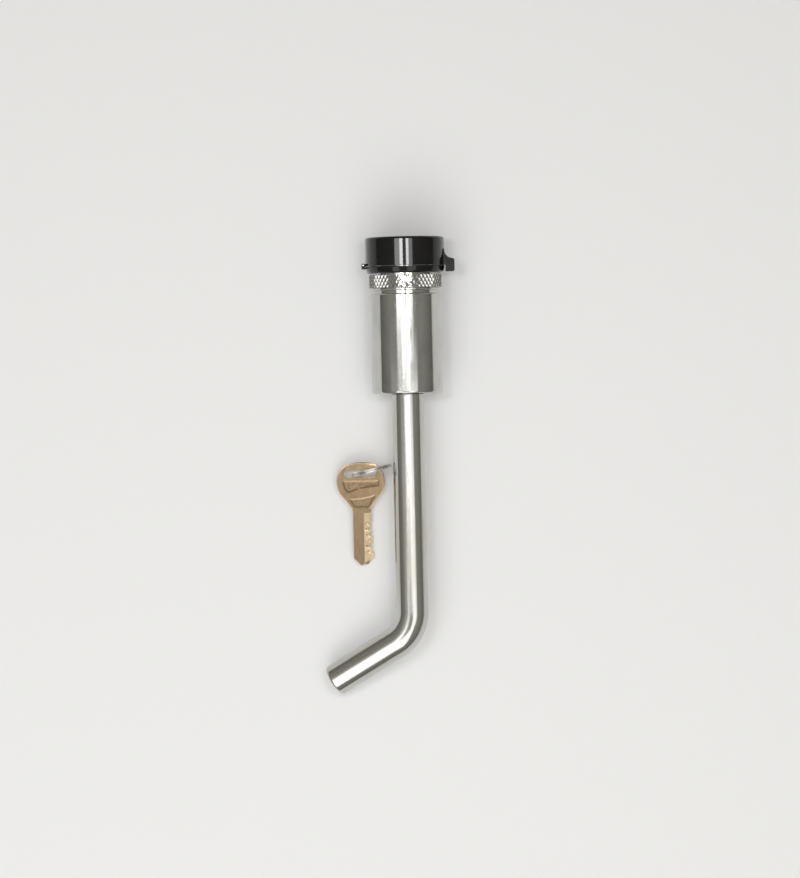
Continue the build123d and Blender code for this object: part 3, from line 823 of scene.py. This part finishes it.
class PINLOCK_OT_collar(bpy.types.Operator):
    """Makes the knurled collar"""

    bl_idname = "pin_lock.collar"
    bl_label = "Knurled Collar"

    def execute(self, context):
        sizes = context.scene.head_sizes
        outer, depth = COLLAR_HIGH.x, sizes.knurl_depth
        root = (outer - depth) / MM
        bore = 16.75
        lip = [(bore, 50.9), (17.2, 50.9), (17.6, 51.3), (17.6, 51.95), (17.3, 52.1)]
        points = [*lip, (root, 52.25), (root, 59.0), (17.5, 59.1), (17.5, 59.4), (bore, 59.4)]
        core = bmesh.new()
        lathe(core, [head(*point) for point in points], 128, closed=True)
        soften(core, 0.08 * MM, 2, 25)
        band = bmesh.new()
        band = knurl(
            band, outer, MOUTH + KNURL_LOW * MM, MOUTH + KNURL_HIGH * MM, sizes.knurl_starts,
            sizes.knurl_angle, depth,
        )
        bm = joined(core, band)
        # Spot face round the dowel, so the diamonds stop short of it.
        reach = sizes.dowel_radius + 0.32 * MM
        place = dowel_place(sizes, 0)
        axis = place.to_3x3() @ Vector((0, 0, 1))
        centre = place.translation
        spot = root + 0.04
        for vert in bm.verts:
            near = vert.co.dot(axis) > 0 and (vert.co - centre).cross(axis).length < reach
            if near and vert.co.xz.length > root * MM:
                vert.co.x, vert.co.z = vert.co.xz.normalized() * spot * MM
        finish_piece("knurled_ring", bm, "head", "chrome_head", ["knurled_collar"], sharp=18)
        return {"FINISHED"}


class PINLOCK_OT_cap(bpy.types.Operator):
    """Makes the black seat, the flip cap with its thumb tab, and the hinge between them"""

    bl_idname = "pin_lock.cap"
    bl_label = "Cap and Seat"

    def execute(self, context):
        sizes = context.scene.head_sizes
        outer = CAP_HIGH.z / MM
        hinge_y = MOUTH / MM + HINGE_HEIGHT
        hinge = Matrix.Translation((HINGE_X * MM, hinge_y * MM, 0))

        bore, brim, top = 16.75, outer - 0.2, 63.0
        outside = [(bore, 59.5), (18.5, 59.5), (19.0, 60.1), (brim, 62.0), (brim, top)]
        points = [*outside, (17.9, top), (17.9, 62.6), (17.2, 62.6), (17.2, top), (bore, top)]
        seat = bmesh.new()
        lathe(seat, [head(*point) for point in points], 128, closed=True)
        soften(seat, 0.12 * MM, 2, 18)
        foot, arm = MOUTH / MM + 62.0, MOUTH / MM + 62.95
        left, inset = HINGE_X - KNUCKLE_RADIUS, 0.02
        for side in (1, -1):
            low, high = sorted((side * SEAT_KNUCKLE_INNER, side * SEAT_KNUCKLE_OUTER))
            middle = Matrix.Translation((0, 0, (low + high) / 2 * MM))
            knuckle = rod(KNUCKLE_RADIUS * MM, (high - low) * MM, hinge @ middle)
            post = block((left + inset, foot, low), (HINGE_X + KNUCKLE_RADIUS - inset, hinge_y, high))
            for part in (knuckle, post, block((left + inset, foot, low), (left + 3.3, arm, high))):
                seat = worked(seat, part, "UNION")
        seat = worked(seat, rod((HINGE_ROD_RADIUS + 0.03) * MM, 20 * MM, hinge))
        finish_piece("hinge_seat", seat, "head", "black_cap", ["cap_seat"])

        pin = rod(HINGE_ROD_RADIUS * MM, 9.4 * MM, hinge, 24)
        soften(pin, 0.12 * MM, 2, 40)
        finish_piece("hinge_rod", pin, "head", "ring_steel", ["cap_hinge_pin"])

        top = CAP_HIGH.y
        bottom = MOUTH + CAP_FOOT * MM
        wall, roof, rounding = sizes.cap_wall, sizes.cap_roof, sizes.cap_round
        radius = outer * MM
        profile = [(0, top)]
        for degrees in range(90, -1, -15):
            turned = math.radians(degrees)
            reach = radius - rounding * (1 - math.cos(turned))
            profile.append((reach, top - rounding * (1 - math.sin(turned))))
        inside = radius - wall
        profile += [
            (radius, bottom + 0.15 * MM), (radius - 0.15 * MM, bottom), (inside + 0.3 * MM, bottom),
            (inside, bottom + 0.3 * MM), (inside, top - roof - 0.6 * MM), (inside - 0.6 * MM, top - roof),
            (7.0 * MM, top - roof), (6.4 * MM, top - roof + 0.4 * MM), (0, top - roof + 0.4 * MM),
        ]
        cap = bmesh.new()
        lathe(cap, profile, 160)
        base, reach = MOUTH / MM, CAP_HIGH.x / MM
        tab = plate(
            (outer - 1.6, base + 71.2),
            [
                (outer - 0.15, base + 71.2),
                (outer + 0.75, base + 68.1, outer + 2.9, base + 66.75),
                (23.6, base + 66.5),
                (24.25, base + 66.1, reach, base + 65.4),
                (reach, base + 61.0),
                (24.2, base + 60.3, 23.5, base + 60.0),
                (outer + 0.3, base + 60.0),
                (outer + 0.3, base + 63.2),
                (outer - 1.6, base + 63.2),
            ],
            -5.5, 5.5, 8,
        )
        # Nail side of the tab: its two outer corners are full rounds, and its long edges are eased.
        soften(
            tab, 2.4 * MM, 5, 60,
            lambda edge: min(vert.co.x for vert in edge.verts) > (reach - 0.2) * MM
            and abs(edge.verts[0].co.y - edge.verts[1].co.y) > 2 * MM,
        )
        clear_of_wall = (outer + 0.2) * MM
        soften(tab, 0.35 * MM, 2, 35, lambda edge: min(vert.co.x for vert in edge.verts) > clear_of_wall)
        half = CAP_KNUCKLE_HALF
        knuckle = rod(KNUCKLE_RADIUS * MM, 2 * half * MM, hinge)
        web = block((HINGE_X, hinge_y - 0.5, -half), (HINGE_X + 2.0, hinge_y + 0.8, half))
        for part in (tab, knuckle, web):
            cap = worked(cap, part, "UNION")
        cap = worked(cap, rod((HINGE_ROD_RADIUS + 0.05) * MM, 6 * MM, hinge))
        finish_piece("dust_cap", cap, "cap", "black_cap", ["flip_cap"])
        return {"FINISHED"}


# --- keys and ring ------------------------------------------------------------------------------

# A key lies in the XY plane with its tip at the origin and its bow along Y. In millimetres.
KEY_TOP = 2.0
BLADE_SIDE = 4.0
BOW_START = 27.2
LEDGE_SIDE = 1.3
LEDGE_HEIGHT = 1.4
RAMP_START, RAMP_END = 23.6, 25.9
CUT_DEPTHS = (1.3, 2.1, 0.9, 1.7, 2.3, 1.1)


def key_blank():
    """A flat key with its cuts."""
    pitch, first, edge, flat = 2.8, 6.4, BLADE_SIDE, 0.35
    cuts = []
    for number, depth in reversed(list(enumerate(CUT_DEPTHS))):
        middle = first + pitch * number
        run = flat + depth / (depth + 0.3)
        cuts += [(edge, middle + run), (edge - depth, middle + flat)]
        cuts += [(edge - depth, middle - flat), (edge, middle - run)]
    left = [(-edge, 3.4), (-edge, 27.3), (-6.6, 31.0, -10.2, 35.4), (-11.8, 42.4, -8.2, 49.4)]
    right = [(0, 51.0, 8.2, 49.4), (11.8, 42.4, 10.2, 35.4), (6.6, 31.0, edge, 27.3)]
    return plate((-0.6, 0), [*left, *right, *cuts, (edge, 3.0), (0.6, 0)], 0, KEY_TOP, 12)


def sunk(bm, start, moves, depth, slope):
    """Presses a panel with sloping walls into both faces of a key."""
    skin = 0.04
    for face in (KEY_TOP, 0):
        away = 1 if face else -1
        rim = face - away * skin
        low, high = sorted((rim, face + away))
        panel = plate(start, moves, low, high)
        floor = min(panel.faces, key=lambda item: abs(item.calc_center_median().z - rim * MM))
        bmesh.ops.inset_region(panel, faces=[floor], thickness=slope * MM, use_even_offset=True)
        bmesh.ops.translate(panel, vec=(0, 0, -away * (depth - skin) * MM), verts=list(floor.verts))
        bm = worked(bm, panel)
    return bm


def key_shape():
    """The whole key: blank, slot, sunk panels, milled ledge and groove."""
    bm = key_blank()
    soften(bm, 0.42 * MM, 3, 60, lambda edge: min(vert.co.y for vert in edge.verts) > BOW_START * MM)
    below, above = -1, KEY_TOP + 1
    slot = [(5.9, 43.4), (8.1, 45.6, 5.9, 47.8), (-5.9, 47.8), (-8.1, 45.6, -5.9, 43.4)]
    bm = worked(bm, plate((-5.9, 43.4), slot, below, above))
    wide = [(-8.5, 38.8, -6.3, 35.7), (0.4, 37.9, 8.8, 38.9), (9.4, 40.4, 9.1, 42.2)]
    bm = sunk(bm, (-8.9, 42.2), wide, 0.45, 0.9)
    bm = sunk(bm, (-6.2, 33.2), [(1.0, 33.6, 7.6, 35.2), (4.1, 28.6), (-3.2, 28.6)], 0.4, 0.8)
    beyond = 5.5
    corners = [(beyond, -1), (beyond, RAMP_END), (LEDGE_SIDE, RAMP_END)]
    ledge = plate((LEDGE_SIDE, -1), corners, LEDGE_HEIGHT, above)
    bmesh.ops.bisect_plane(
        ledge, geom=whole(ledge), dist=TINY, plane_co=(0, RAMP_START * MM, 0), plane_no=(0, 1, 0)
    )
    for vert in ledge.verts:
        if vert.co.y > (RAMP_END - 0.1) * MM and vert.co.z < KEY_TOP * MM:
            vert.co.z = (KEY_TOP + 0.02) * MM
    bm = worked(bm, ledge)
    bm = worked(bm, plate((-2.4, -1), [(-0.8, -1), (-0.8, 25.4), (-2.4, 25.4)], below, 0.5))
    chevron = [(0.4, 31.5), (2.2, 29.6), (2.2, 28.9), (0.4, 30.8), (-1.4, 28.9)]
    return worked(bm, plate((-1.4, 29.6), chevron, 1.5, 1.9), "UNION")


class PINLOCK_OT_keys(bpy.types.Operator):
    """Makes the key and the spare key"""

    bl_idname = "pin_lock.keys"
    bl_label = "Keys"

    def execute(self, context):
        sizes = context.scene.key_sizes
        lean = Matrix.Rotation(sizes.tilt, 4, "X")
        lower = Matrix.Translation((-24.4 * MM, -30.3 * MM, FLOOR)) @ lean
        upper = lower @ Matrix.Translation((0, 0, sizes.thickness + 0.1 * MM))
        pivot = Matrix.Translation((-1.8 * MM, 45.0 * MM, 0))
        fanned = lower @ pivot @ Matrix.Rotation(sizes.fan, 4, "Z") @ pivot.inverted()
        for name, body, node, place in (
            ("cut_key", "key", "key", upper),
            ("cut_key_spare", "spare_key", "spare_key", fanned),
        ):
            bm = key_shape()
            for face in bm.faces:
                middle = face.calc_center_median() / MM
                milled = middle.x > LEDGE_SIDE - 0.1 and middle.y < RAMP_END + 0.1
                wall = abs(face.normal.z) < 0.5
                ramp = RAMP_START < middle.y < RAMP_END + 0.1 and 0.5 < face.normal.z < 0.99
                ledge = abs(middle.z - LEDGE_HEIGHT) < 0.05
                deep = middle.y > BOW_START and 0.3 < middle.z < KEY_TOP - 0.3 and not wall
                if milled and (wall or ramp or ledge):
                    face.material_index = 1
                # The sunk floors of the bow take the darker finish, painted shade in the recesses.
                elif deep:
                    face.material_index = 2
            bmesh.ops.transform(bm, matrix=place, verts=bm.verts[:])
            piece = finish_piece(name, bm, body, "nickel_key", [node], 18, ("cut_brass", "sunk_key"))
            for face in piece.data.polygons:
                face.use_smooth = face.material_index != 2
            ease = piece.modifiers.new("eased edges", "BEVEL")
            piece.modifiers.move(1, 0)
            ease.width = 0.14 * MM
            ease.segments = 2
            ease.limit_method = "ANGLE"
            ease.angle_limit = math.radians(40)
        return {"FINISHED"}


class PINLOCK_OT_ring(bpy.types.Operator):
    """Makes the split ring, wound nearly two turns with a step between them"""

    bl_idname = "pin_lock.ring"
    bl_label = "Split Ring"

    def execute(self, context):
        sizes = context.scene.key_sizes
        low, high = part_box("split_ring")
        middle = (low + high) / 2
        wire_wide = sizes.ring_radius - sizes.ring_inner
        step_up = sizes.ring_width / 2
        wire_thick = step_up - 0.05 * MM
        reach = (sizes.ring_radius + sizes.ring_inner) / 2
        flat_turn, jog_turn = math.radians(322), math.radians(38)
        bm = bmesh.new()
        middle_of_wire = Matrix.Translation((reach, 0, -step_up / 2))
        section = middle_of_wire @ Matrix.Rotation(math.radians(90), 4, "X")
        bmesh.ops.create_grid(bm, x_segments=1, y_segments=1, size=0.5, matrix=section)
        bmesh.ops.scale(
            bm, vec=(wire_wide, 1, wire_thick), space=middle_of_wire.inverted(), verts=bm.verts[:]
        )
        bmesh.ops.bevel(
            bm, geom=bm.verts[:], offset=0.42 * MM, offset_type="OFFSET", segments=4, profile=0.5,
            affect="VERTICES", clamp_overlap=True, material=-1,
        )
        last = whole(bm)
        for turned, rise, steps in ((flat_turn, 0, 72), (jog_turn, step_up, 12), (flat_turn, 0, 72)):
            made = bmesh.ops.spin(
                bm, geom=last, cent=(0, 0, 0), axis=(0, 0, 1), dvec=(0, 0, rise / steps), angle=turned,
                steps=steps,
            )
            last = made["geom_last"]
        tidy(bm)
        bmesh.ops.holes_fill(bm, edges=[edge for edge in bm.edges if edge.is_boundary], sides=0)
        bmesh.ops.recalc_face_normals(bm, faces=bm.faces[:])
        slant = sizes.ring_slant
        stand = Matrix((
            (math.cos(slant), 0, math.sin(slant)),
            (math.sin(slant), 0, -math.cos(slant)),
            (0, 1, 0),
        )).to_4x4()
        first_end = Matrix.Rotation(math.radians(-71), 4, "Z")
        bmesh.ops.transform(bm, matrix=Matrix.Translation(middle) @ stand @ first_end, verts=bm.verts[:])
        finish_piece("key_ring", bm, "ring", "ring_steel", ["split_ring"], sharp=50)
        return {"FINISHED"}


class PINLOCK_OT_inner(bpy.types.Operator):
    """Gives the lock parts inside the head their metals"""

    bl_idname = "pin_lock.inner"
    bl_label = "Inner Parts"

    def execute(self, context):
        for name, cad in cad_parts.items():
            if cad.hide_render:
                continue
            slot = node_slot(name)
            cad.data.materials.clear()
            cad.data.materials.append(material_for(slot))
        return {"FINISHED"}


INNER_SLOTS = {
    "hardened_steel": ("ball_cage", "ball_1", "ball_2", "cam_cup", "cam_screw", "cam_washer"),
    "zinc_housing": ("lock_housing",),
    "lock_brass": ("lock_plug", "thrust_washer", *(f"wafer_{number}" for number in range(1, 6))),
    "spring_steel": ("cage_clip", "wafer_springs"),
}


def node_slot(name):
    """The finish of a part inside the head."""
    for slot, names in INNER_SLOTS.items():
        if name in names:
            return slot
    raise KeyError(f"no finish for {name}")


# --- stage --------------------------------------------------------------------------------------


PANEL_HEIGHT = 1.25
# Soft panels overhead: name, left, right, near and far edge, and brightness.
PANELS = (
    ("shank panel", -0.06, 0.80, -0.11, 0.06, 1.35),
    ("shank fill", -0.60, -0.06, -0.11, 0.06, 0.55),
    ("shank far fill", -1.70, -0.60, -0.11, 0.06, 0.3),
    ("bend panel", 0.14, 0.80, -0.55, -0.11, 1.45),
    ("front panel", -1.05, 0.60, -1.90, -0.55, 1.8),
    ("leg panel", -0.95, -0.40, -0.55, -0.16, 1.8),
    ("barrel strip", -0.33, 0.22, 0.06, 0.145, 1.4),
    ("barrel fill", -0.75, -0.33, 0.06, 0.145, 0.6),
    ("cap strip left", -0.33, -0.13, 0.145, 0.26, 26.0),
    ("cap fill left", -0.70, -0.33, 0.145, 0.26, 7.0),
    ("cap strip right", 0.075, 0.24, 0.145, 0.26, 24.0),
    ("cap fill right", 0.24, 0.50, 0.145, 0.26, 5.0),
)


def softbox(name, centre, size, radiance):
    """A soft panel that faces down at the set, as bright as radiance all over."""
    light = bpy.data.lights.new(name, "AREA")
    light.shape = "RECTANGLE"
    light.size, light.size_y = size
    light.energy = radiance * math.pi * size[0] * size[1]
    panel = bpy.data.objects.new(name, light)
    panel.location = centre
    panel.visible_camera = False
    bpy.context.scene.collection.objects.link(panel)


class PINLOCK_OT_stage(bpy.types.Operator):
    """Makes the floor, the lights and the camera"""

    bl_idname = "pin_lock.stage"
    bl_label = "Stage"

    def execute(self, context):
        scene = context.scene
        bm = bmesh.new()
        floor_radius, gap = 12, 0.02 * MM
        place = Matrix.Translation((0, 0, FLOOR - gap))
        bmesh.ops.create_circle(bm, cap_ends=True, segments=64, radius=floor_radius, matrix=place)
        mesh = bpy.data.meshes.new("floor")
        bm.to_mesh(mesh)
        bm.free()
        mesh.materials.append(material_for("floor_paper"))
        floor = bpy.data.objects.new("floor", mesh)
        scene.collection.objects.link(floor)

        for name, left, right, near, far, radiance in PANELS:
            centre = ((left + right) / 2, (near + far) / 2, PANEL_HEIGHT)
            softbox(name, centre, (right - left, far - near), radiance)

        world = bpy.data.worlds.new("room")
        world.use_nodes = True
        tree = world.node_tree
        look = tree.nodes.new("ShaderNodeTexCoord")
        rise = tree.nodes.new("ShaderNodeSeparateXYZ")
        walls = tree.nodes.new("ShaderNodeMapRange")
        fade = {"From Min": 0.0, "From Max": 0.6, "To Min": 0.15, "To Max": 0.31}
        for name, value in fade.items():
            walls.inputs[name].default_value = value
        room = tree.nodes["Background"]
        room.inputs["Color"].default_value = (1.0, 0.97, 0.88, 1)
        tree.links.new(look.outputs["Generated"], rise.inputs[0])
        tree.links.new(rise.outputs["Z"], walls.inputs["Value"])
        tree.links.new(walls.outputs[0], room.inputs["Strength"])
        scene.world = world

        middle_x, middle_y, height = -0.0043, 0.03166, 3.0
        field, roll = 0.4346, math.radians(-1.235)
        lens = bpy.data.cameras.new("camera")
        lens.lens = lens.sensor_width * height / field
        camera = bpy.data.objects.new("camera", lens)
        camera.location = (middle_x, middle_y, height)
        camera.rotation_euler = (0, 0, roll)
        scene.collection.objects.link(camera)
        scene.camera = camera
        scene.view_settings.view_transform = "Standard"
        return {"FINISHED"}


OPERATORS = (
    PINLOCK_OT_pin,
    PINLOCK_OT_barrel,
    PINLOCK_OT_collar,
    PINLOCK_OT_cap,
    PINLOCK_OT_keys,
    PINLOCK_OT_ring,
    PINLOCK_OT_inner,
    PINLOCK_OT_stage,
)
GROUPS = {"pin_sizes": PinSizes, "head_sizes": HeadSizes, "key_sizes": KeySizes, "lock_colours": Colours}


class PINLOCK_PT_panel(bpy.types.Panel):
    """Lists the pieces of the pin lock and their settings"""

    bl_idname = "PINLOCK_PT_panel"
    bl_label = "Pin Lock"
    bl_space_type = "VIEW_3D"
    bl_region_type = "UI"
    bl_category = "Pin Lock"

    def draw(self, context):
        for operator in OPERATORS:
            self.layout.operator(operator.bl_idname)
        for name, group in GROUPS.items():
            box = self.layout.box()
            box.label(text=group.__doc__)
            for setting in group.__annotations__:
                box.prop(getattr(context.scene, name), setting)


def register():
    for name, group in GROUPS.items():
        bpy.utils.register_class(group)
        setattr(bpy.types.Scene, name, PointerProperty(type=group))
    for item in (*OPERATORS, PINLOCK_PT_panel):
        bpy.utils.register_class(item)


def unregister():
    for item in reversed((*OPERATORS, PINLOCK_PT_panel)):
        bpy.utils.unregister_class(item)
    for name, group in GROUPS.items():
        delattr(bpy.types.Scene, name)
        bpy.utils.unregister_class(group)


def main():
    register()
    bpy.ops.pin_lock.pin()
    bpy.ops.pin_lock.barrel()
    bpy.ops.pin_lock.collar()
    bpy.ops.pin_lock.cap()
    bpy.ops.pin_lock.keys()
    bpy.ops.pin_lock.ring()
    bpy.ops.pin_lock.inner()
    bpy.ops.pin_lock.stage()


if __name__ == "__main__":
    main()
